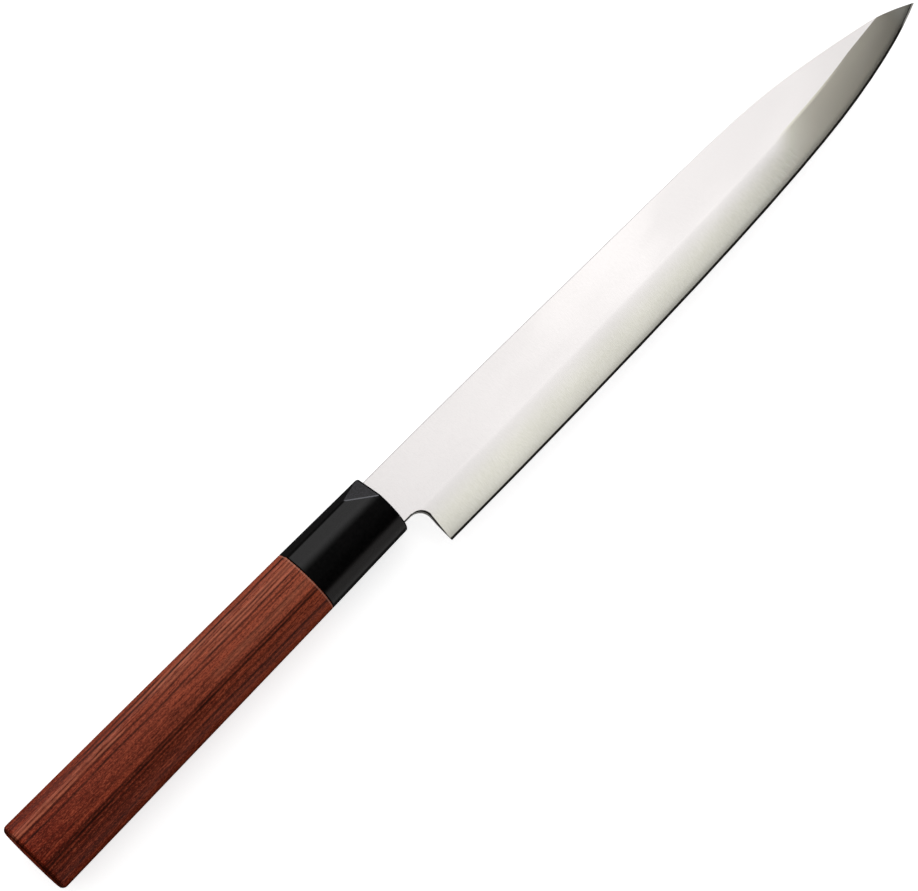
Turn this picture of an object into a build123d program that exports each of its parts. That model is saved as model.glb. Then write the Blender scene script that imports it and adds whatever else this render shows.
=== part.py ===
from build123d import *
import os
from math import acos, cos, degrees, radians, sin, sqrt, tan

# Yanagiba: a long slicing knife ground on one side only, with a hidden tang, an oval
# wooden handle with one ridge, and a black ferrule. Millimetres and degrees.
#
# While it is drawn, X runs from the middle of the ferrule's front face to the tip,
# Y to the spine and Z out of the ground right face. At the end the knife is laid on
# its left side: the origin is then the middle of its box, at the height of the
# surface that carries the handle.

# Blade outline
blade_run = 209.7               # heel to tip, along the knife
blade_height = 28.7             # neck's top line to the heel's corner
spine_line_y = 8.0              # neck's top line above the handle's middle line
neck_height = 16.0              # blade where it leaves the ferrule
heel_setback = 6.4              # ferrule's front face to the heel's corner
heel_undercut = 0.9             # how far the choil reaches past the heel's corner
choil_radius = 3.8
choil_hollow = 0.25             # how far the heel's back edge is ground hollow

# The outline's points: the share of the run from the heel, then how far the spine
# and the edge lie under the neck's top line there, as shares of the blade's height.
outline_shares = (
    (0.00, 0.003, 1.000),
    (0.20, 0.019, 1.008),
    (0.45, 0.055, 0.991),
    (0.65, 0.089, 0.944),
    (0.75, 0.135, 0.898),
    (0.82, 0.208, 0.848),
    (0.90, 0.318, 0.756),
    (0.96, 0.432, 0.653),
    (1.00, 0.556, 0.556),
)
spine_start_angle = 0.6
edge_start_angle = 0.7
spine_tip_angle = 25.0
edge_tip_angle = 22.0

# Blade thickness and grinding
blade_thickness = 2.4           # at the neck
thin_from = 56.4                # the right face falls away from here to the tip
tip_thickness = 1.72            # that face's level at the tip, before the long bevel
bevel_angle = 10.1              # the long bevel that runs down to the edge
edge_land = 0.24                # thickness left under the long bevel, at the fine bevel
fine_bevel_angle = 28.0
spine_chamfer = 0.3
spine_break_run_out = 29.7      # from this far before the tip it runs out of the steel
left_face_start = 1.5           # ferrule's front face to the start of the flat left face
left_face_relief = 0.15         # neck and tang lie this much inside that face
hollow_depth = 0.28             # the shallow hollow ground into the left face
hollow_rim_spine = 2.2          # flat rim left round it
hollow_rim_edge = 1.6
hollow_heel_gap = 7.0           # heel to the hollow's wide end
hollow_tip_gap = 14.7           # its narrow end to the tip
hollow_ramp = 9.0               # its full depth is reached over this length
hollow_steps = 12

# Tang
neck_seat = 6.0                 # how deep the full neck sits in the ferrule
tang_length = 92.0              # ferrule's front face to the tang's end
tang_root_height = 9.6
tang_end_height = 6.4
tang_end_radius = 1.5

# Handle and ferrule, outside
handle_length = 105.4           # the wood that shows
ferrule_length = 30.3
butt_height = 23.15
joint_height = 20.75
front_height = 19.75
butt_thickness = 20.4
joint_thickness = 18.4
front_thickness = 17.6
butt_ridge_angle = 55.0         # the ridge's place, turned from the top of the oval
joint_ridge_angle = 45.5
front_ridge_angle = 44.0
butt_ridge_radius = 2.4
joint_ridge_radius = 1.3
front_ridge_radius = 1.1
ridge_rise_share = 0.076        # how far the ridge stands out of the oval
butt_round = 1.6
front_round = 0.6
round_steps = 4                 # bevels that make up each of these two round edges
taper_steps = 2                 # straight stretches along the wood, and along the ferrule
joint_bevel = 0.18              # on both pieces where wood and ferrule meet
facet_bevel = 0.12              # depth of the bevel where the facet meets the front face

# The flat cut across the ridge's front end
facet_length = 8.2              # ferrule's front face to the facet's point on the ridge
facet_side_y = 1.2              # where it leaves the front face at the side
facet_top_z = 2.2               # where it leaves the front face near the top

# Handle and ferrule, inside
socket_depth = 22.3             # from the ferrule's rear face
socket_height = 14.6
socket_thickness = 12.8
tenon_clearance = 0.1
tenon_end_gap = 0.4
slot_clearance = 0.12           # round neck and tang in the ferrule
adhesive_gap = 0.7              # round the tang in the wood
adhesive_end = 3.0              # past the tang's end

overrun = 4.0                   # how far a cutter runs past what it cuts
right_angle = 90.0

# Places that follow
tip_x = heel_setback + blade_run
face_z = blade_thickness / 2
left_z = -blade_thickness / 2
neck_left_z = left_z + left_face_relief
neck_low_y = spine_line_y - neck_height
neck_middle_y = (spine_line_y + neck_low_y) / 2
choil_x = heel_setback + heel_undercut
joint_x = -ferrule_length
butt_x = joint_x - handle_length
socket_floor_x = joint_x + socket_depth
tenon_x = socket_floor_x - tenon_end_gap


def slope(angle):
    """Direction in the outline's plane that climbs by an angle."""
    return cos(radians(angle)), sin(radians(angle))


def block(low, high):
    """A plain block between two corners."""
    middle = [(a + b) / 2 for a, b in zip(low, high)]
    return Pos(*middle) * Box(*[b - a for a, b in zip(low, high)])


def face_of(*curves):
    """A face inside a closed row of curves."""
    return make_face([edge for curve in curves for edge in curve.edges()])


# The blade's outline, seen from its right side
def outline_points(side):
    """The outline's points from the shares: side 1 is the spine, side 2 the edge."""
    points = []
    for row in outline_shares:
        points.append((heel_setback + row[0] * blade_run, spine_line_y - row[side] * blade_height))
    return points


def spine_curve():
    points = [(-neck_seat, spine_line_y), *outline_points(1)]
    return Spline(*points, tangents=(slope(-spine_start_angle), slope(-spine_tip_angle)))


def edge_curve():
    return Spline(*outline_points(2), tangents=(slope(-edge_start_angle), slope(edge_tip_angle)))


def height_at(curve, x):
    """The outline's height above the middle line at one place along the knife."""
    return curve.intersect(Plane.YZ.offset(x)).vertices()[0].Y


def blade_plan():
    """Blade, neck and tang in outline."""
    spine, edge = spine_curve(), edge_curve()
    choil_corner = (choil_x, neck_low_y)
    root_half, end_half = tang_root_height / 2, tang_end_height / 2
    heel_back = SagittaArc(edge @ 0, choil_corner, choil_hollow)
    tang = Polyline(
        choil_corner,
        (-neck_seat, neck_low_y),
        (-neck_seat, neck_middle_y - root_half),
        (-tang_length, neck_middle_y - end_half),
        (-tang_length, neck_middle_y + end_half),
        (-neck_seat, neck_middle_y + root_half),
        (-neck_seat, spine_line_y),
    )
    plan = face_of(spine, edge, heel_back, tang)
    plan = fillet(plan.vertices().sort_by_distance(choil_corner)[0], choil_radius)
    return fillet(plan.vertices().group_by(Axis.X)[0], tang_end_radius)


# The grinding of the blade
def thin(blade):
    """Let the right face fall away towards the tip, without a crease where it starts."""
    start, end = (thin_from, face_z), (tip_x, left_z + tip_thickness)
    past = (tip_x + overrun, left_z + tip_thickness)
    fall = TangentArc(start, end, tangent=(1, 0))
    over = Polyline(end, past, (past[0], face_z + overrun), (start[0], face_z + overrun), start)
    return blade - extrude(Plane.XZ * face_of(fall, over), blade_height + overrun, both=True)


def side_of(curve, toward):
    """All of the outline's plane above a curve, or below it where toward is -1."""
    before = (curve @ 0) - (curve % 0) * blade_height
    after = (curve @ 1) + (curve % 1) * blade_height
    back, front, far = before.X - tang_length, after.X + blade_height, 2 * toward * blade_height
    border = Polyline(after, (front, after.Y), (front, far), (back, far), (back, before.Y), before)
    side = face_of(Line(before, curve @ 0), curve, Line(curve @ 1, after), border).face()
    return side if toward > 0 else -side


def grind(blade, region, start_z, end_z, angle):
    """Grind off what lies outside a region whose border leans inward from start_z to end_z."""
    start = Plane.XY.offset(start_z)
    keep = extrude(start * region, abs(end_z - start_z), taper=right_angle - angle)
    if (keep.center().Z > start_z) != (end_z > start_z):
        keep = mirror(keep, about=start)
    low = (-neck_seat, -2 * blade_height, min(start_z, end_z))
    away = block(low, (tip_x + overrun, 2 * blade_height, max(start_z, end_z)))
    return blade - (away - keep)


def grind_edge(blade):
    """The long bevel up the right face, then the fine bevel at the cutting edge."""
    steel = side_of(edge_curve(), 1)
    top_z = face_z + overrun
    fine_width = edge_land / tan(radians(fine_bevel_angle))
    long_bevel_z = left_z + edge_land - fine_width * tan(radians(bevel_angle))
    blade = grind(blade, steel, long_bevel_z, top_z, bevel_angle)
    return grind(blade, steel, left_z, top_z, fine_bevel_angle)


def break_spine(blade):
    """Break both long edges of the spine. The border starts outside and crosses into the steel."""
    points = []
    for x, y in [(-neck_seat, spine_line_y), *outline_points(1)]:
        past_share = max(x - tip_x + spine_break_run_out, 0) / spine_break_run_out
        points.append((x, y + spine_chamfer * (1 + past_share)))
    border = Spline(*points, tangents=(slope(-spine_start_angle), slope(-spine_tip_angle)))
    under = side_of(border, -1)
    for side_z, outward in ((face_z, 1), (left_z, -1)):
        leg = outward * spine_chamfer
        blade = grind(blade, under, side_z - 2 * leg, side_z + leg, right_angle / 2)
    return blade


def hollow_section(x):
    """A shallow round segment across the left face, deeper where the blade is wider."""
    high = height_at(spine_curve(), x) - hollow_rim_spine
    low = height_at(edge_curve(), x) + hollow_rim_edge
    widest = blade_height - hollow_rim_spine - hollow_rim_edge
    depth = hollow_depth * ((high - low) / widest) ** 2
    floor = ThreePointArc((low, left_z), ((low + high) / 2, left_z + depth), (high, left_z))
    return Plane.YZ.offset(x) * face_of(floor, Line((high, left_z), (low, left_z)))


def back_hollow():
    """The hollow of the left face, with a ramp at the heel where the wheel leaves it."""
    first_x = heel_setback + hollow_heel_gap
    step = (tip_x - hollow_tip_gap - first_x) / hollow_steps
    trough = loft([hollow_section(first_x + i * step) for i in range(hollow_steps + 1)])
    ramp_end = (first_x + 2 * hollow_ramp, left_z + 2 * hollow_depth)
    under = Polyline((first_x, left_z), ramp_end, (tip_x, ramp_end[1]), (tip_x, left_z), close=True)
    return trough & extrude(Plane.XZ * face_of(under), blade_height, both=True)


def make_blade():
    blade = extrude(Plane.XY.offset(left_z) * blade_plan(), blade_thickness)
    blade = break_spine(grind_edge(thin(blade)))
    blade -= back_hollow()
    tang_low = (-tang_length - overrun, neck_low_y - overrun, left_z - overrun)
    blade -= block(tang_low, (left_face_start, spine_line_y + overrun, neck_left_z))
    return blade


# The handle's and the ferrule's sections
butt_size = (butt_height, butt_thickness, butt_ridge_angle, butt_ridge_radius)
joint_size = (joint_height, joint_thickness, joint_ridge_angle, joint_ridge_radius)
front_size = (front_height, front_thickness, front_ridge_angle, front_ridge_radius)


def ridge_point(height, thickness, ridge_angle):
    """The ridge before it is rounded: its height and its reach from the middle line."""
    out = (1 + ridge_rise_share) / 2
    return height * out * cos(radians(ridge_angle)), thickness * out * sin(radians(ridge_angle))


def oval(x, height, thickness, ridge_angle, ridge_radius):
    """The oval with its ridge. From the ridge two flats run back to touch the oval."""
    half_turn = degrees(acos(1 / (1 + ridge_rise_share)))
    bottom, back, top = 2 * right_angle, 3 * right_angle, 4 * right_angle
    stops = [ridge_angle + half_turn, bottom, back, top, top + ridge_angle - half_turn]
    arcs = []
    for start, stop in zip(stops, stops[1:]):
        arcs.append(EllipticalCenterArc((0, 0), height / 2, thickness / 2, start, arc_size=stop - start))
    ridge = ridge_point(height, thickness, ridge_angle)
    section = face_of(*arcs, Line(arcs[-1] @ 1, ridge), Line(ridge, arcs[0] @ 0))
    section = fillet(section.vertices().sort_by_distance(ridge)[0], ridge_radius)
    return Plane.YZ.offset(x) * section


def round_end(x, inward, radius, height, thickness, ridge_angle, ridge_radius):
    """The sections of a rounded end, from its flat face to just before the full oval."""
    sections = []
    for i in range(round_steps):
        turn = radians(right_angle * i / round_steps)
        inset = radius * (1 - sin(turn))
        place = x + inward * radius * (1 - cos(turn))
        size = (height - 2 * inset, thickness - 2 * inset)
        sections.append(oval(place, *size, ridge_angle, ridge_radius - inset))
    return sections


def taper(start_x, end_x, start_size, end_size):
    """The sections along an even taper, from one full oval to the other."""
    sections = []
    for i in range(taper_steps + 1):
        share = i / taper_steps
        size = [start + (end - start) * share for start, end in zip(start_size, end_size)]
        sections.append(oval(start_x + (end_x - start_x) * share, *size))
    return sections


def end_edges(piece, end):
    """The edges round one end face of a piece: end 0 is the rear, end -1 the front."""
    return piece.faces().sort_by(Axis.X)[end].edges()


def tube(start_x, end_x, height, thickness):
    """A straight oval piece along the middle line."""
    return extrude(Plane.YZ.offset(start_x) * Ellipse(height / 2, thickness / 2), end_x - start_x)


def tang_bore():
    """The tapered slot in the wood that the tang and its adhesive fill."""
    wide = blade_thickness + 2 * adhesive_gap
    run = tang_length - neck_seat
    taper = (tang_root_height - tang_end_height) / run
    mouth_high = tang_root_height - taper * (-neck_seat - tenon_x) + 2 * adhesive_gap
    end_high = tang_end_height - taper * adhesive_end + 2 * adhesive_gap
    mouth = Plane.YZ.offset(tenon_x) * SlotOverall(mouth_high, wide)
    end = Plane.YZ.offset(-tang_length - adhesive_end) * SlotOverall(end_high, wide)
    return loft([mouth, end], ruled=True)


# The pieces
def make_handle():
    rear = round_end(butt_x, 1, butt_round, *butt_size)
    wood = loft([*rear, *taper(butt_x + butt_round, joint_x, butt_size, joint_size)], ruled=True)
    wood = chamfer(end_edges(wood, -1), joint_bevel)
    tenon = (socket_height - 2 * tenon_clearance, socket_thickness - 2 * tenon_clearance)
    wood += tube(joint_x - overrun, tenon_x, *tenon)
    return wood - tang_bore()


def facet_plane():
    """The flat that cuts off the ridge's front end."""
    half_y, half_z = front_height / 2, front_thickness / 2
    side_z = half_z * sqrt(1 - (facet_side_y / half_y) ** 2)
    top_y = half_y * sqrt(1 - (facet_top_z / half_z) ** 2)
    joint = Vector(joint_x, *ridge_point(joint_height, joint_thickness, joint_ridge_angle))
    front = Vector(0, *ridge_point(front_height, front_thickness, front_ridge_angle))
    side, top = Vector(0, facet_side_y, side_z), Vector(0, top_y, facet_top_z)
    ridge = front + (joint - front) * (facet_length / ferrule_length)
    outward = (ridge - side).cross(top - side).normalized()
    if outward.Z < 0:
        outward = outward * -1
    return Plane(origin=side, z_dir=outward)


def make_ferrule():
    front = round_end(0, -1, front_round, *front_size)
    ferrule = loft([*taper(joint_x, -front_round, joint_size, front_size), *reversed(front)], ruled=True)
    ferrule = chamfer(end_edges(ferrule, 0), joint_bevel)
    facet = facet_plane()
    between = (facet.z_dir + Vector(1, 0, 0)).normalized()
    ferrule = split(ferrule, bisect_by=facet, keep=Keep.BOTTOM)
    bevel = Plane(facet.origin - between * facet_bevel, z_dir=between)
    ferrule = split(ferrule, bisect_by=bevel, keep=Keep.BOTTOM)
    ferrule -= tube(joint_x - overrun, socket_floor_x, socket_height, socket_thickness)
    low_z, high_z = neck_left_z - slot_clearance, face_z + slot_clearance
    neck_half = neck_height / 2 + slot_clearance
    low, high = (-neck_seat, neck_middle_y - neck_half), (overrun, neck_middle_y + neck_half)
    ferrule -= block((*low, low_z), (*high, high_z))
    root_half = tang_root_height / 2 + slot_clearance
    low = (socket_floor_x - overrun, neck_middle_y - root_half)
    high = (overrun - neck_seat, neck_middle_y + root_half)
    return ferrule - block((*low, low_z), (*high, high_z))


if __name__ == "__main__":
    blade = make_blade()
    pieces = {
        "blade": blade,
        "ferrule": make_ferrule(),
        "handle": make_handle(),
        "tang_adhesive": tang_bore() - blade,
    }
    # Lay the knife down: the middle of its box over the origin, on the surface.
    box = Compound(list(pieces.values())).bounding_box()
    lay_down = Pos(-box.center().X, -box.center().Y, -box.min.Z)
    os.makedirs("parts", exist_ok=True)
    for name, piece in pieces.items():
        export_step(lay_down * piece, f"parts/{name}.step")
        print(name, round(piece.volume), "cubic mm")
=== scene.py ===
from functools import reduce
from math import cos, radians, sin
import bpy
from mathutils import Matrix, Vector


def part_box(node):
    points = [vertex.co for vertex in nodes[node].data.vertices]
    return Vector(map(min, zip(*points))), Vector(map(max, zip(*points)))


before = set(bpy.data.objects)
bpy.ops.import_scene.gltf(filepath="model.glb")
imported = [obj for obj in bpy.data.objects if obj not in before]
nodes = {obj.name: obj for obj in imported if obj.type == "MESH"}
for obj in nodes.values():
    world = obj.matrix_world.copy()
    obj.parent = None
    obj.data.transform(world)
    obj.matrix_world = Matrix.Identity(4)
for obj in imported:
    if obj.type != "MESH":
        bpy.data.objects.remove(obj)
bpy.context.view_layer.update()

from types import SimpleNamespace

import bpy
from mathutils import Matrix, Vector

# A long slicing knife that lies on its left side on a pale floor. Metres.
mm = 0.001

# Places worked out from the frame
blade_low, blade_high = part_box("blade")
ferrule_low, ferrule_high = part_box("ferrule")
handle_low, handle_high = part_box("handle")
front_x = ferrule_high.x                  # the ferrule's front face
joint_x = ferrule_low.x                   # where the wood starts
butt_x = handle_low.x
tip_x = blade_high.x
axis_y = (handle_low.y + handle_high.y) / 2
axis_z = (handle_low.z + handle_high.z) / 2
left_z = blade_low.z                      # the flat rims of the blade's left face
face_z = blade_high.z                     # its right face, at the neck

# Camera
camera_distance = 900 * mm
camera_target = Vector((front_x + 26.99 * mm, axis_y - 3.80 * mm, axis_z))
lean_back = radians(12.5)                 # towards the butt
lean_edge = radians(5.0)                  # towards the edge's side
picture_turn = radians(45.544)
sensor_width = 36.0
image_width = 918                         # pixels
focal_pixels = 3239.6
clip_near = 10 * mm
clip_far = 20.0

# The sockets of a Mix node for colours, by their place in its lists
mix_share, mix_first, mix_second = 0, 6, 7
mix_result = 2


class Shader:
    """Builds the nodes of one material, or of the world."""

    def __init__(self, tree):
        self.tree = tree
        self.tree.nodes.clear()

    def add(self, kind, inputs=None, **settings):
        node = self.tree.nodes.new(kind)
        for name, value in settings.items():
            setattr(node, name, value)
        for name, value in (inputs or {}).items():
            self.plug(node.inputs[name], value)
        return node

    def plug(self, socket, value):
        """Link another node's output to a socket, or give the socket a plain value."""
        if isinstance(value, bpy.types.NodeSocket):
            self.tree.links.new(value, socket)
        else:
            socket.default_value = value

    def math(self, operation, *values):
        node = self.add("ShaderNodeMath", operation=operation)
        for socket, value in zip(node.inputs, values):
            self.plug(socket, value)
        return node.outputs[0]

    def plus(self, first, second):
        return self.math("ADD", first, second)

    def minus(self, first, second):
        return self.math("SUBTRACT", first, second)

    def times(self, *values):
        """The product: of shares, how far all of them hold."""
        return reduce(lambda first, second: self.math("MULTIPLY", first, second), values)

    def most(self, *values):
        """The largest: of shares, how far any of them holds."""
        return reduce(lambda first, second: self.math("MAXIMUM", first, second), values)

    def rest(self, share):
        """What a share leaves of 1."""
        return self.minus(1.0, share)

    def over(self, value, limit):
        return self.math("GREATER_THAN", value, limit)

    def under(self, value, limit):
        return self.math("LESS_THAN", value, limit)

    def span(self, value, start, end, low=0.0, high=1.0, smooth=True):
        """Carry a value from start..end over to low..high, level outside."""
        way = "SMOOTHSTEP" if smooth else "LINEAR"
        inputs = {"Value": value, "From Min": start, "From Max": end, "To Min": low, "To Max": high}
        return self.add("ShaderNodeMapRange", inputs, clamp=True, interpolation_type=way).outputs[0]

    def turn(self, share, first, second):
        """A number that goes from the first to the second with a share."""
        return self.plus(self.times(self.minus(second, first), share), first)

    def profile(self, value, start, end, stops):
        """A level that changes with a value from start to end, given as shares of that way."""
        ramp = self.add("ShaderNodeValToRGB", {"Fac": self.span(value, start, end, smooth=False)})
        ramp.color_ramp.interpolation = "EASE"
        while len(ramp.color_ramp.elements) < len(stops):
            ramp.color_ramp.elements.new(1.0)
        top = max(level for share, level in stops)
        for element, (share, level) in zip(ramp.color_ramp.elements, stops):
            element.position = share
            element.color = (level / top, level / top, level / top, 1.0)
        return self.times(ramp.outputs[0], top)

    def track(self, value, points):
        """A height that follows the given points, each a value and a height."""
        height = points[0][1]
        for (begin, low), (finish, high) in zip(points, points[1:]):
            height = self.plus(self.span(value, begin, finish, 0.0, high - low, smooth=False), height)
        return height

    def mix(self, share, first, second):
        """A colour that goes from the first to the second with a share."""
        node = self.add("ShaderNodeMix", data_type="RGBA", blend_type="MIX", clamp_factor=True)
        self.plug(node.inputs[mix_share], share)
        self.plug(node.inputs[mix_first], first)
        self.plug(node.inputs[mix_second], second)
        return node.outputs[mix_result]

    def stain(self, colour, where, strength, tint):
        """A colour with a tint over it where a share holds."""
        return self.mix(self.times(where, strength), colour, tint)

    def place(self):
        """The place on the object, in metres."""
        return self.add("ShaderNodeNewGeometry").outputs["Position"]

    def facing(self):
        """The surface's direction."""
        return self.add("ShaderNodeNewGeometry").outputs["Normal"]

    def split(self, vector):
        """A vector's X, Y and Z."""
        node = self.add("ShaderNodeSeparateXYZ", {"Vector": vector})
        return node.outputs[0], node.outputs[1], node.outputs[2]

    def join(self, x, y, z):
        return self.add("ShaderNodeCombineXYZ", {"X": x, "Y": y, "Z": z}).outputs[0]

    def noise(self, place, scale, detail=2.0, rough=0.5):
        """Noise from 0 to 1, finer along the axes with the larger scale."""
        stretched = self.add("ShaderNodeMapping", {"Vector": place, "Scale": scale}).outputs[0]
        inputs = {"Vector": stretched, "Scale": 1.0, "Detail": detail, "Roughness": rough}
        return self.add("ShaderNodeTexNoise", inputs).outputs[0]

    def bump(self, height, depth, strength, normal=None):
        node = self.add("ShaderNodeBump", {"Height": height, "Distance": depth, "Strength": strength})
        if normal is not None:
            self.plug(node.inputs["Normal"], normal)
        return node.outputs[0]

    def surface(self, shader):
        """End in one shader."""
        out = self.add("ShaderNodeOutputMaterial")
        self.plug(out.inputs["Surface"], shader.outputs[0])

    def two_surfaces(self, share, first, second):
        """End in two shaders: a share tells how far the second takes over from the first."""
        both = self.add("ShaderNodeMixShader")
        for socket, value in zip(both.inputs, (share, first.outputs[0], second.outputs[0])):
            self.plug(socket, value)
        self.surface(both)


def material(name):
    made = bpy.data.materials.new(name)
    made.use_nodes = True
    return made, Shader(made.node_tree)


def rgb(red, green, blue):
    """A colour given as it shows on screen, 0 to 255, in linear numbers (the sRGB curve)."""
    linear = []
    for level in (red, green, blue):
        share = level / 255
        linear.append(share / 12.92 if share <= 0.04045 else ((share + 0.055) / 1.055) ** 2.4)
    return (*linear, 1.0)


# Steel
# In all the materials, pairs of places and of directions are limits: something begins at
# the first and is complete at the second.

# Where the ground surfaces lie
land_z = left_z + 0.24 * mm               # where the long bevel ends at the edge
thin_x = front_x + 56.4 * mm              # the right face falls away from here
tip_fall = 0.68 * mm                      # and this far down at the tip
crisp_x = tip_x - 46 * mm                 # from here to the tip the grind line is crisp
soft_x = tip_x - 64 * mm                  # from here back it is softened
ground_out_x = tip_x - 11.0 * mm          # where the grind line meets the spine
ground_out_y = axis_y - 3.20 * mm
grind_climb = 0.09                        # the grind line's slope near the tip

# The neck's underside, the choil's round and the heel
neck_low_y = axis_y - 7.97 * mm
choil_radius = 3.8 * mm
choil_middle_x = front_x + 3.5 * mm
choil_middle_y = neck_low_y - choil_radius
heel_x = front_x + 6.4 * mm
heel_y = axis_y - 20.7 * mm
choil_line_width = 0.22 * mm
neck_line = (0.40 * mm, 0.15 * mm)        # heights above the neck's underside
heel_line = (0.10 * mm, -0.10 * mm)       # distances in from the heel's back edge

# Which surface it is, told by the Y or Z of its direction
bevel_lean = (-0.08, -0.13)               # Y: the long bevel, also the fine one
fine_lean = (-0.30, -0.40)                # Y: the fine bevel
fine_level = (0.5, 0.65)                  # Z: walls don't count
wall_level = (0.6, 0.4)                   # Z: walls that face the edge's side or the butt
wall_lean = (-0.1, -0.3)                  # X and Y together: the same walls
choil_level = (0.3, 0.6)                  # Z: the choil's line is on the faces alone

# Up the blade
edge_foot = (land_z + 0.06 * mm, land_z + 0.03 * mm)  # the painted dark line, a painted shade, at the long bevel's foot
line_blur = (-0.06 * mm, 0.10 * mm)                   # heights from the grind line

# Along the blade
line_drawn = (tip_x - 50 * mm, tip_x - 30 * mm)       # steel above the grind line lies flat
worn_line = (tip_x - 24 * mm, tip_x - 44 * mm)        # from here back the line is worn away
leaning_edge = (tip_x - 150 * mm, tip_x - 110 * mm)   # steel by the edge leans more
coarse_ground = (tip_x - 110 * mm, tip_x - 30 * mm)   # the grinding is coarser
warm_start = (tip_x - 76 * mm, tip_x - 36 * mm)       # the steel is painted warmer and darker, a painted shade
warm_end = (tip_x - 4 * mm, tip_x - 10 * mm)          # as far as here
tip_highlight_zone = (tip_x - 9 * mm, tip_x - 5 * mm)         # the fine bevel gets a painted highlight

# How much the long bevel's steel leans, as a factor of what its shape leans
rounded_lean = 1.3                        # at the edge, where the line is softened
rounded_power = 0.75                      # how it falls from there to none at the line
crisp_leans = (1.25, 0.75)                # at the edge and at the line, where it is crisp
edge_extra_leans = (0.20, 0.45)           # added by the edge: near the heel, near the tip

# Shares of the way up the long bevel
worn_corner = (0.90, 1.0)
by_the_edge = (0.20, 0.0)

coarse_shares = (0.15, 1.0)               # near the heel, near the tip
coarse_depths = (0.10, 1.6)               # of the finest marks: fine and coarse grinding
cross_depth = 0.12                        # of the broader marks across the blade
mark_height = 0.004 * mm                  # what a depth of 1 stands for
steel_roughness = (0.22, 0.27)
brushed_strength = 0.10
# how much painted shade the walls facing the edge's side or the butt get
wall_shade = 0.45

flat_colours = (rgb(245, 241, 240), rgb(249, 245, 244))
ground_colours = (rgb(245, 243, 230), rgb(253, 251, 241))
brushed_colour = rgb(120, 118, 110)
warm_colour = rgb(221, 216, 202)
dark_steel = (rgb(32, 31, 29), rgb(48, 46, 43))
tip_highlight_colour = rgb(182, 182, 176)


def choil_line(s, x, y):
    """The thin dark line that follows the neck's underside, the choil and the heel: a painted shade."""
    across = s.minus(x, choil_middle_x)
    up = s.minus(y, choil_middle_y)
    away = s.math("SQRT", s.plus(s.math("POWER", across, 2.0), s.math("POWER", up, 2.0)))
    arc = s.span(s.minus(away, choil_radius), choil_line_width, 0.0)
    arc = s.times(arc, s.times(s.over(across, 0.0), s.over(up, 0.0)))
    neck = s.times(s.span(s.minus(y, neck_low_y), *neck_line), s.under(across, 0.0))
    slant = (choil_middle_x + choil_radius - heel_x) / (choil_middle_y - heel_y)
    back_x = s.plus(s.times(s.minus(y, heel_y), slant), heel_x)
    back = s.times(s.span(s.minus(x, back_x), *heel_line), s.under(up, 0.0))
    return s.most(arc, neck, back)


def steel_zones(s, place):
    """Which surface of the blade a point is on, in shares, and how it lies there."""
    x, y, z = s.split(place)
    nx, ny, nz = s.split(s.facing())
    fall = s.math("POWER", s.span(x, thin_x, tip_x, smooth=False), 2.0)
    face_top = s.math("MULTIPLY_ADD", fall, -tip_fall, face_z)
    up_bevel = s.span(z, land_z, face_top, smooth=False)
    soft = s.span(x, crisp_x, soft_x)
    bevel = s.span(ny, *bevel_lean)
    fine = s.times(s.span(ny, *fine_lean), s.span(nz, *fine_level))
    edge_line = s.times(s.span(z, *edge_foot), bevel)
    line_y = s.math("MULTIPLY_ADD", s.minus(x, ground_out_x), grind_climb, ground_out_y)
    above = s.times(s.span(s.minus(y, line_y), *line_blur), s.span(x, *line_drawn))
    long_bevel = s.times(s.minus(bevel, fine), s.rest(above))
    wall = s.times(s.span(nz, *wall_level), s.span(s.plus(nx, ny), *wall_lean))
    choil = s.times(choil_line(s, x, y), s.span(nz, *choil_level))
    coarse = s.times(long_bevel, s.span(x, *coarse_ground, *coarse_shares))
    return SimpleNamespace(
        x=x, normal=(nx, ny, nz), up_bevel=up_bevel, soft=soft, bevel=bevel, above=above,
        long_bevel=long_bevel, coarse=coarse, fine=fine, edge_line=edge_line, wall=wall, choil=choil,
    )


def worn_normal(s, zone):
    """The steel's direction, rounded off by hand: it leans less and less up to the grind line."""
    nx, ny, nz = zone.normal
    rounded = s.times(s.math("POWER", s.rest(zone.up_bevel), rounded_power), rounded_lean)
    crisp = s.span(zone.up_bevel, 0.0, 1.0, *crisp_leans, smooth=False)
    lean = s.turn(zone.soft, crisp, rounded)
    worn = s.times(s.span(zone.up_bevel, *worn_corner), s.span(zone.x, *worn_line))
    lean = s.times(lean, s.rest(worn))
    extra = s.span(zone.x, *leaning_edge, *edge_extra_leans)
    lean = s.plus(lean, s.times(s.span(zone.up_bevel, *by_the_edge), extra))
    lean = s.turn(zone.long_bevel, 1.0, lean)
    lean = s.times(lean, s.rest(s.times(zone.above, zone.bevel)))
    leaning = s.join(s.times(nx, lean), s.times(ny, lean), nz)
    return s.add("ShaderNodeVectorMath", {0: leaning}, operation="NORMALIZE").outputs[0]


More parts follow.
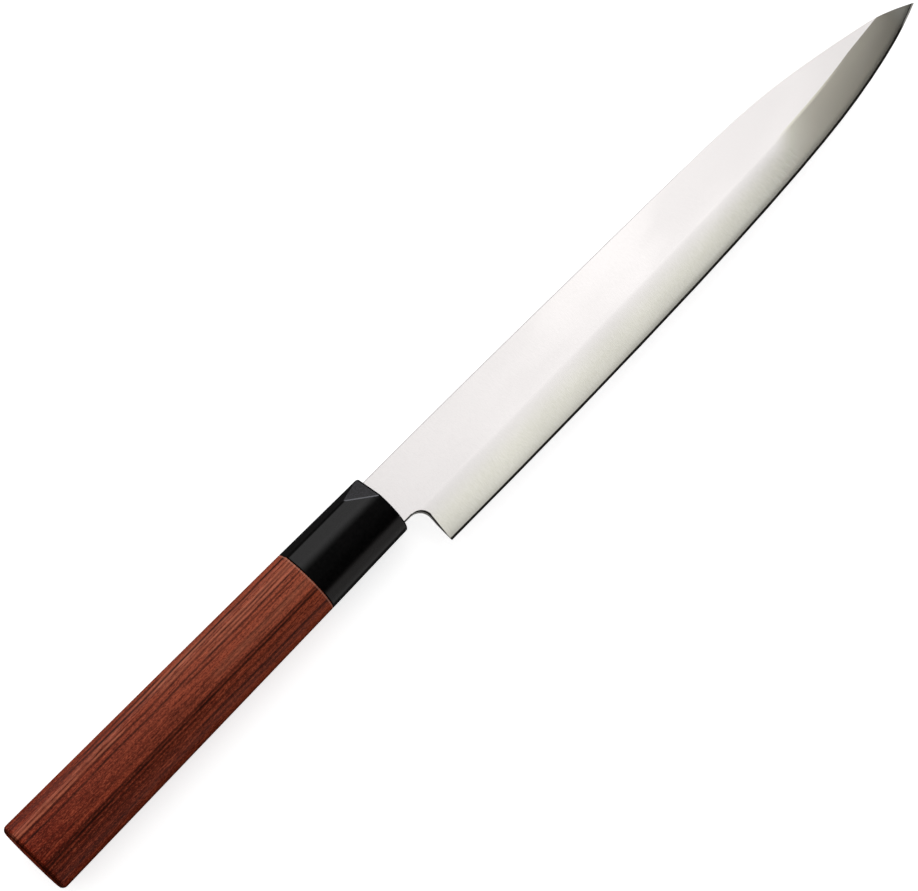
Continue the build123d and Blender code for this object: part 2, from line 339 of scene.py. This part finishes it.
def steel_material():
    made, s = material("satin_steel")
    place = s.place()
    zone = steel_zones(s, place)
    lines = s.noise(place, (4200, 700, 900), detail=3.0, rough=0.6)
    grit = s.noise(place, (3000, 2400, 2400), detail=3.0, rough=0.7)
    cross = s.noise(place, (900, 24, 60))
    cloud = s.noise(place, (22, 60, 60))
    brushed = s.noise(place, (1700, 220, 220), detail=3.0, rough=0.7)

    height = s.times(s.plus(lines, grit), s.span(zone.coarse, 0.0, 1.0, *coarse_depths))
    height = s.plus(height, s.times(cross, cross_depth))
    normal = s.bump(height, mark_height, 0.7, worn_normal(s, zone))
    rough = s.span(cloud, 0.3, 0.7, *steel_roughness)

    flat = s.mix(s.span(lines, 0.25, 0.75), *flat_colours)
    ground = s.mix(s.span(lines, 0.3, 0.7), *ground_colours)
    marks = s.times(zone.coarse, s.span(brushed, 0.35, 0.65, 0.0, brushed_strength))
    ground = s.mix(marks, ground, brushed_colour)
    # painted shade: the ground steel is painted warmer and darker towards the tip
    warm = s.times(s.span(zone.x, *warm_start), s.span(zone.x, *warm_end))
    ground = s.mix(warm, ground, warm_colour)
    softened = s.span(s.times(zone.up_bevel, zone.soft), 0.35, 1.0, 1.0, 0.0)
    colour = s.mix(s.times(zone.long_bevel, softened), flat, ground)
    bright = s.add(
        "ShaderNodeBsdfPrincipled",
        {"Base Color": colour, "Metallic": 1.0, "Roughness": rough, "Normal": normal},
    )

    # The dull dark steel is painted: painted dark reflection on the fine bevel, and painted shade in
    # the line at the long bevel's foot, on the walls and along the choil
    colour = s.mix(s.span(lines, 0.3, 0.7), *dark_steel)
    # near the tip the fine bevel gets a painted highlight
    colour = s.mix(s.times(zone.fine, s.span(zone.x, *tip_highlight_zone)), colour, tip_highlight_colour)
    dark = s.add("ShaderNodeBsdfDiffuse", {"Color": colour, "Normal": normal})
    steel_shade_share = s.most(zone.fine, zone.edge_line, s.times(zone.wall, wall_shade), zone.choil)
    s.two_surfaces(steel_shade_share, bright, dark)
    return made


# Ferrule
# The facet's lower edge, from its corner on the ridge to the one on the front face
ridge_corner_x = front_x - 8.2 * mm
ridge_corner_y = axis_y + 7.7 * mm
front_corner_x = front_x
front_corner_y = axis_y + 1.2 * mm
facet_highlight_width = (0.26 * mm, 0.08 * mm)       # the painted highlight's half width, faded and full
facet_edge_end_x = front_x - 0.5 * mm

# The facet, told by the X and Y of its direction
facet_start = (0.14, 0.22)                # X: more than the sides
facet_end = (0.42, 0.34)                  # X: less than the front's rounded edge
facet_lean = (0.35, 0.5)                  # Y

# The parts painted dull black as painted shade and painted dark reflection: the rims and the strip over
# the ridge, told by their places
front_rim = (front_x - 0.62 * mm, front_x - 0.40 * mm)
joint_rim = (joint_x + 0.45 * mm, joint_x + 0.25 * mm)
ridge_strip = (axis_y + 7.0 * mm, axis_y + 7.4 * mm)

# and the others, told by the Y of their direction, with how far the last two are painted dull black
middle_from_above = (0.32, 0.05)
middle_from_below = (-0.68, -0.48)
low_outline = (-0.88, -0.97)
lower_side = (-0.42, -0.60, 0.0, 0.25)
upper_side = (0.30, 0.45, 0.0, 0.15)
along_middle = (0.3, 0.2)                 # X: without the facet and the rounded edge
along_side = (0.2, 0.1)                   # X: the same, further off them
resin_shade_strength = 0.92

reflection_side = (-0.45, -0.65)                # Y of the direction where the black is painted warmer, a painted reflection
resin_speck = (0.35, 0.65)                # limits of the speckle between its two colours
resin_roughness = (0.20, 0.28)
grit_height = 0.01 * mm
grit_shares = (0.15, 1.0)                 # how much of it there is off the facet and on it
wave_height = 0.03 * mm
facet_highlight_strength = 0.8

resin_colours = (rgb(6, 5, 6), rgb(12, 11, 12))
shade_black_colours = (rgb(4, 4, 4), rgb(10, 9, 9))
reflected_warm_resin = rgb(20, 15, 13)
facet_colour = rgb(42, 41, 47)
highlight_resin = rgb(118, 118, 124)


def facet_edge_highlight(s, x, y, nz):
    """The thin light line along the facet's lower edge, a painted highlight."""
    run_x = front_corner_x - ridge_corner_x
    run_y = front_corner_y - ridge_corner_y
    length = (run_x ** 2 + run_y ** 2) ** 0.5
    off = s.times(s.minus(x, ridge_corner_x), run_y / length)
    off = s.minus(off, s.times(s.minus(y, ridge_corner_y), run_x / length))
    line = s.span(s.math("ABSOLUTE", off), *facet_highlight_width)
    line = s.times(line, s.over(x, ridge_corner_x))
    return s.times(line, s.over(nz, 0.5), s.under(x, facet_edge_end_x))


def resin_shade_share(s, x, y, nx, ny):
    """How far the black is painted dull, as painted shade: in the middle of the face, over the ridge,
    and at outlines and rims.
    """
    middle = s.times(s.span(ny, *middle_from_above), s.span(ny, *middle_from_below))
    middle = s.times(middle, s.span(nx, *along_middle))
    strip = s.times(s.span(y, *ridge_strip), s.span(nx, *along_side))
    low, lower = s.span(ny, *low_outline), s.span(ny, *lower_side)
    upper = s.times(s.span(ny, *upper_side), s.span(nx, *along_side))
    rims = s.most(s.span(x, *front_rim), s.span(x, *joint_rim))
    return s.times(s.most(middle, strip, low, rims, lower, upper), resin_shade_strength)


def resin_material():
    made, s = material("black_resin")
    place = s.place()
    x, y = s.split(place)[:2]
    nx, ny, nz = s.split(s.facing())
    speck = s.noise(place, (900, 900, 900), detail=3.0, rough=0.6)
    grit = s.noise(place, (2600, 2600, 2600), detail=3.0, rough=0.7)
    wave = s.noise(place, (60, 160, 160))

    facet = s.times(s.span(nx, *facet_start), s.span(nx, *facet_end), s.span(ny, *facet_lean))
    fine_bump = s.bump(s.times(grit, s.span(facet, 0.0, 1.0, *grit_shares)), grit_height, 0.6)
    normal = s.bump(wave, wave_height, 0.5, fine_bump)
    colour = s.mix(s.span(speck, *resin_speck), *resin_colours)
    # painted reflection: the black is warmer where it faces the edge's side
    colour = s.mix(s.span(ny, *reflection_side), colour, reflected_warm_resin)
    colour = s.mix(s.times(facet, s.span(grit, 0.40, 0.62)), colour, facet_colour)
    # a painted highlight along the facet's lower edge
    colour = s.stain(colour, facet_edge_highlight(s, x, y, nz), facet_highlight_strength, highlight_resin)
    rough = s.span(wave, 0.3, 0.7, *resin_roughness)
    glossy = s.add(
        "ShaderNodeBsdfPrincipled",
        {"Base Color": colour, "Roughness": rough, "Normal": normal, "Specular IOR Level": 0.34},
    )
    # painted shade: a dull black in place of dark reflections
    dull_colour = s.mix(s.span(speck, *resin_speck), *shade_black_colours)
    dull = s.add("ShaderNodeBsdfDiffuse", {"Color": dull_colour})
    s.two_surfaces(resin_shade_share(s, x, y, nx, ny), glossy, dull)
    return made


# Wood
# Its streaks are layers through the block. Each row gives the half width in millimetres,
# the strength, and the run: shares of the wood's length from the butt, with the height
# above the handle's middle line in millimetres.
dark_streaks = (
    (0.20, 0.45, ((-0.05, 10.2), (0.21, 9.4), (0.36, 9.6))),
    (0.24, 0.90, ((0.24, 9.5), (0.40, 9.6), (0.58, 9.6))),
    (0.20, 0.60, ((-0.05, 9.3), (0.09, 9.1), (0.26, 8.7))),
    (0.26, 0.95, ((0.18, 8.9), (0.34, 8.3), (0.47, 8.2), (0.61, 8.5), (1.05, 8.5))),
    (0.20, 0.55, ((-0.05, 6.6), (0.21, 6.8), (0.42, 6.6))),
    (0.24, 0.75, ((-0.05, 5.3), (0.34, 5.6), (0.47, 5.4), (0.61, 5.9), (0.87, 5.9), (1.05, 6.2))),
    (0.24, 0.80, (
        (-0.05, 3.6), (0.21, 3.5), (0.34, 3.8), (0.47, 3.6), (0.61, 3.9), (0.78, 3.7), (1.05, 3.9),
    )),
    (0.22, 0.75, ((0.54, 2.8), (0.74, 2.4), (1.05, 2.4))),
    (0.20, 0.45, ((0.80, 1.5), (1.05, 1.5))),
    (0.20, 0.65, ((0.68, 4.7), (0.87, 5.0), (1.05, 5.4))),
    (0.22, 0.35, ((0.14, 1.4), (0.54, 1.2))),
    (0.22, 0.40, ((0.68, -0.1), (1.05, -0.2))),
    (0.22, 0.45, ((-0.05, -2.3), (0.34, -1.7), (0.74, -1.7), (1.05, -1.9))),
    (0.24, 0.85, ((-0.05, -4.4), (0.21, -4.0), (0.40, -3.7), (0.80, -3.5), (1.05, -3.7))),
    (0.27, 0.95, ((-0.05, -5.4), (0.21, -4.9), (0.40, -4.5), (1.05, -4.4))),
    (0.22, 0.70, ((-0.05, -6.4), (0.21, -6.0), (0.40, -5.6), (0.60, -5.5))),
    (0.22, 0.55, ((-0.05, -7.9), (0.34, -7.3), (0.60, -6.5), (0.92, -6.3))),
    (0.22, 0.45, ((-0.05, -9.7), (0.47, -9.4), (0.95, -8.9))),
    (0.22, 0.70, ((0.50, -8.0), (0.87, -8.0), (1.05, -8.1))),
    (0.20, 0.45, ((0.64, 7.5), (0.87, 7.6), (1.05, 7.2))),
    (0.20, 0.40, ((0.40, 7.7), (0.61, 6.9), (0.80, 6.9))),
)
light_streaks = (
    (0.28, 0.50, ((-0.05, 6.1), (0.21, 6.2), (0.42, 6.1))),
    (0.40, 0.38, ((-0.05, 7.2), (0.21, 7.4), (0.42, 7.6))),
    (0.30, 0.45, ((0.38, 8.8), (0.60, 8.9), (0.72, 9.0))),
    (0.30, 0.60, ((0.48, 7.9), (0.66, 7.9), (0.82, 8.0))),
    (0.28, 0.55, ((0.50, 6.4), (0.80, 6.4), (1.05, 6.6))),
    (0.26, 0.40, ((0.64, 5.4), (1.05, 5.6))),
    (0.26, 0.35, ((0.64, 4.3), (1.05, 4.5))),
    (0.90, 0.25, ((0.62, -1.0), (1.05, -1.0))),
)
streak_outside = 2                        # a streak is gone at this many half widths
streak_core = 0.3                         # and full inside this many
streak_fade = 0.06                        # share of the wood's length over which it ends
ragged_edge = 0.9 * mm                    # how far its edge runs in and out with the fibres
grain_wander = 0.7 * mm                   # how far the layers wander up and down
lower_part = (-5.0 * mm, -2.5 * mm)       # below this height the wood is painted darker, a painted shade
light_streak_shares = (0.35, 1.0)         # where broken off, where whole
dark_streak_shares = (0.68, 1.0)

# Where wood meets ferrule, and the butt
pale_lip_start = (joint_x - 0.60 * mm, joint_x - 0.40 * mm)
pale_lip_end = (joint_x - 0.08 * mm, joint_x - 0.18 * mm)
butt_part = (butt_x + 3 * mm, butt_x + 2 * mm)

# Parts told by their direction, some with how dark their painted shade is
ridge_from_below = (0.25, 0.42)           # Y
ridge_from_above = (0.80, 0.62)           # Y
outline = (0.94, 0.998, 0.0, 0.50)        # Y, either way
butt_edge = (-0.12, -0.80)                # X
butt_face = (-0.995, -0.95, 0.35, 0.90)   # X
dull_side = (0.80, 0.95)                  # Y, either way: no gloss
dull_butt = (-0.05, -0.3)                 # X: no gloss
wood_roughness = (0.42, 0.55)
relief_height = 0.04 * mm                 # of the fibres and the pores

# Each pair of colours goes from the butt to the joint; the darker butt end is painted shade.
upper_colours = (rgb(110, 27, 11), rgb(182, 92, 66))
lower_colours = (rgb(93, 24, 10), rgb(150, 66, 42))
light_streak_colour = rgb(206, 124, 94)
dark_streak_colour = rgb(34, 8, 4)
pore_colour = rgb(38, 10, 6)
ridge_sheen_colour = rgb(196, 112, 92)
lip_highlight_colour = rgb(214, 160, 140)
shade_and_end_grain_colour = rgb(26, 8, 5)


def streak(s, way, share, half_width, points):
    """Where one streak shows, 0 to 1; it fades out at both ends of its run."""
    far, height, ragged = way
    away = s.math("ABSOLUTE", s.minus(height, s.track(far, points)))
    there = s.span(s.plus(away, ragged), half_width * streak_outside, half_width * streak_core)
    begin, finish = points[0][0], points[-1][0]
    begun = s.span(far, begin, begin + streak_fade)
    unended = s.span(far, finish, finish - streak_fade)
    return s.times(there, share, s.times(begun, unended))


def add_streaks(s, colour, streaks, tint, way, share):
    """A colour with one of the two sets of streaks in it.

    The way is how far along the wood a point is, its height, and how ragged the fibres are.
    """
    for half_width, strength, run in streaks:
        points = [(place, level * mm) for place, level in run]
        there = streak(s, way, share, half_width * mm, points)
        colour = s.stain(colour, there, strength, tint)
    return colour


def wood_material():
    made, s = material("red_wood")
    place = s.place()
    x, y, z = s.split(place)
    nx, ny = s.split(s.facing())[:2]
    along = s.span(x, butt_x, joint_x, smooth=False)
    far = s.math("DIVIDE", s.minus(x, butt_x), joint_x - butt_x)
    wander = s.noise(place, (30, 60, 60), detail=3.0)
    height = s.plus(s.minus(y, axis_y), s.times(s.minus(wander, 0.5), grain_wander))
    grain = s.join(x, height, z)
    fibre = s.noise(grain, (170, 3000, 2400), detail=5.0, rough=0.8)
    speck = s.noise(place, (1400, 3000, 3000), detail=3.0, rough=0.8)
    pore = s.noise(grain, (220, 3600, 3600), rough=0.6)
    bands = s.noise(grain, (8, 800, 300), detail=4.0, rough=0.65)
    broad = s.noise(grain, (6, 170, 90))

    # Each layer of the grain: its noise, the limits that show, the strength and the colour
    layers = (
        (broad, 0.52, 0.70, 0.45, rgb(92, 24, 10)),
        (bands, 0.54, 0.66, 0.55, rgb(60, 13, 5)),
        (bands, 0.46, 0.34, 0.45, rgb(182, 78, 48)),
        (fibre, 0.52, 0.60, 0.60, rgb(54, 12, 5)),
        (fibre, 0.47, 0.38, 0.55, rgb(200, 94, 62)),
        (speck, 0.51, 0.62, 0.60, rgb(58, 14, 6)),
        (speck, 0.48, 0.38, 0.45, rgb(194, 96, 66)),
    )
    upper, lower = s.mix(along, *upper_colours), s.mix(along, *lower_colours)
    colour = s.mix(s.span(height, *lower_part), lower, upper)
    for noise, start, end, strength, tint in layers:
        colour = s.stain(colour, s.span(noise, start, end), strength, tint)
    ragged = s.times(s.minus(fibre, 0.5), ragged_edge)
    broken = s.span(s.noise(grain, (110, 900, 900), detail=4.0, rough=0.65), 0.36, 0.58)
    light_share = s.span(broken, 0.0, 1.0, *light_streak_shares, smooth=False)
    dark_share = s.span(broken, 0.0, 1.0, *dark_streak_shares, smooth=False)
    way = (far, height, ragged)
    colour = add_streaks(s, colour, light_streaks, light_streak_colour, way, light_share)
    colour = add_streaks(s, colour, dark_streaks, dark_streak_colour, way, dark_share)
    colour = s.stain(colour, s.span(pore, 0.61, 0.68), 0.55, pore_colour)

    # The ridge is painted a little lighter, a painted sheen, and the lip at the joint is painted
    # lighter, a painted highlight. The outlines of the sides and the butt are painted darker: painted
    # shade, and on the butt also its darker end grain.
    ridge = s.times(s.span(ny, *ridge_from_below), s.span(ny, *ridge_from_above))
    colour = s.stain(colour, s.times(ridge, s.span(fibre, 0.56, 0.40)), 0.42, ridge_sheen_colour)
    # painted highlight of the lip at the joint
    lip_highlight = s.times(s.span(x, *pale_lip_start), s.span(x, *pale_lip_end))
    colour = s.stain(colour, lip_highlight, 0.30, lip_highlight_colour)
    # painted shade on the outlines of the sides and the butt, the butt also darker with its end grain
    sideways = s.math("ABSOLUTE", ny)
    outline_shade = s.span(sideways, *outline)
    end = s.times(s.span(nx, *butt_edge), s.span(nx, *butt_face), s.span(x, *butt_part))
    colour = s.mix(s.most(outline_shade, end), colour, shade_and_end_grain_colour)

    relief = s.minus(s.times(fibre, 0.5), s.span(pore, 0.58, 0.70))
    normal = s.bump(relief, relief_height, 0.6)
    rough = s.span(fibre, 0.3, 0.7, *wood_roughness)
    satin = s.add(
        "ShaderNodeBsdfPrincipled",
        {"Base Color": colour, "Roughness": rough, "Normal": normal, "Specular IOR Level": 0.08},
    )
    dull = s.add("ShaderNodeBsdfDiffuse", {"Color": colour, "Normal": normal})
    s.two_surfaces(s.most(s.span(sideways, *dull_side), s.span(nx, *dull_butt)), satin, dull)
    return made


def adhesive_material():
    made, s = material("adhesive")
    cloud = s.noise(s.place(), (400, 400, 400))
    colour = s.mix(s.span(cloud, 0.3, 0.7), rgb(190, 170, 120), rgb(205, 188, 142))
    s.surface(s.add("ShaderNodeBsdfPrincipled", {"Base Color": colour, "Roughness": 0.5}))
    return made


finishes = {
    "blade": steel_material(),
    "ferrule": resin_material(),
    "handle": wood_material(),
    "tang_adhesive": adhesive_material(),
}
for name, finish in finishes.items():
    node_mesh = nodes[name].data
    node_mesh.materials.clear()
    node_mesh.materials.append(finish)


# Floor
floor_half = 3.0
floor_glow = 0.68                         # seen by the camera alone, so it lights nothing
floor_colours = (rgb(236, 236, 236), rgb(240, 240, 240))
white = rgb(255, 255, 255)


def floor_material():
    made, s = material("floor_white")
    colour = s.mix(s.noise(s.place(), (120, 120, 120)), *floor_colours)
    paper = s.add("ShaderNodeBsdfDiffuse", {"Color": colour})
    rays = s.add("ShaderNodeLightPath")
    seen = s.times(rays.outputs["Is Camera Ray"], floor_glow)
    glow = s.add("ShaderNodeEmission", {"Color": white, "Strength": seen})
    both = s.add("ShaderNodeAddShader", {0: paper.outputs[0], 1: glow.outputs[0]})
    s.surface(both)
    return made


def make_floor():
    floor_mesh = bpy.data.meshes.new("floor")
    turns = ((-1, -1), (1, -1), (1, 1), (-1, 1))
    corners = [(x * floor_half, y * floor_half, 0) for x, y in turns]
    floor_mesh.from_pydata(corners, [], [range(len(corners))])
    floor_mesh.materials.append(floor_material())
    floor = bpy.data.objects.new("floor", floor_mesh)
    bpy.context.scene.collection.objects.link(floor)
    return floor


floor = make_floor()

# Light
# How bright the panels overhead are, from the edge's side over to the spine's side: shares
# of that way and levels
panel_levels = (
    (0.00, 0.05),
    (0.20, 0.20),
    (0.28, 0.44),
    (0.33, 0.88),
    (0.40, 0.96),
    (0.48, 0.93),
    (0.51, 0.96),
    (0.545, 1.08),
    (0.80, 1.50),
    (0.93, 1.30),
    (1.00, 0.50),
)
# Dark cards beyond the tip: their limits towards the tip and towards the edge's side, and
# what they leave of the light
dark_cards = (
    ((0.333, 0.395), (0.12, -0.14), 0.16),
    ((0.29, 0.36), (-0.22, -0.36), 0.50),
)
# How the panels change along the knife: the limits, and their light's factor at each
brighter_to_tip = (0.13, 0.33, 0.62, 1.37)
darker_past_tip = (0.30, 0.45, 1.0, 0.50)
wall_levels = (0.70, 1.0)                 # plain walls, on the edge's and the spine's side
panels_start = (0.20, 0.48)               # how high the walls end and the panels are full


def studio():
    """Soft panels overhead, bright on the spine's side and dark on the edge's, and pale plain walls."""
    world = bpy.data.worlds.new("studio")
    bpy.context.scene.world = world
    world.use_nodes = True
    s = Shader(world.node_tree)
    dx, dy, dz = s.split(s.add("ShaderNodeTexCoord").outputs["Generated"])
    panels = s.profile(dy, -1.0, 1.0, panel_levels)
    for to_tip, to_edge, left in dark_cards:
        card = s.times(s.span(dx, *to_tip), s.span(dy, *to_edge))
        panels = s.times(panels, s.span(card, 0.0, 1.0, 1.0, left, smooth=False))
    panels = s.times(panels, s.span(dx, *brighter_to_tip))
    panels = s.times(panels, s.span(dx, *darker_past_tip))
    walls = s.span(dy, -1.0, 1.0, *wall_levels)
    up = s.span(dz, *panels_start)
    level = s.plus(s.times(panels, up), s.times(walls, s.rest(up)))
    rays = s.add("ShaderNodeLightPath")
    level = s.most(level, rays.outputs["Is Camera Ray"])
    background = s.add("ShaderNodeBackground", {"Color": white, "Strength": level})
    out = s.add("ShaderNodeOutputWorld")
    s.plug(out.inputs["Surface"], background.outputs[0])


studio()


# Camera at the photograph's viewing angle
def make_camera():
    back = Vector((-sin(lean_back) * cos(lean_edge), -sin(lean_edge), cos(lean_back) * cos(lean_edge)))
    level_right = (Vector((1, 0, 0)) - back * back.x).normalized()
    level_up = back.cross(level_right)
    right = level_right * cos(picture_turn) - level_up * sin(picture_turn)
    up = level_right * sin(picture_turn) + level_up * cos(picture_turn)
    data = bpy.data.cameras.new("camera")
    data.sensor_width = sensor_width
    data.lens = focal_pixels * sensor_width / image_width
    data.clip_start = clip_near
    data.clip_end = clip_far
    camera = bpy.data.objects.new("camera", data)
    bpy.context.scene.collection.objects.link(camera)
    turn = Matrix((right, up, back)).transposed()
    camera.matrix_world = Matrix.Translation(camera_target + back * camera_distance) @ turn.to_4x4()
    bpy.context.scene.camera = camera


make_camera()
bpy.context.scene.view_settings.view_transform = "Standard"
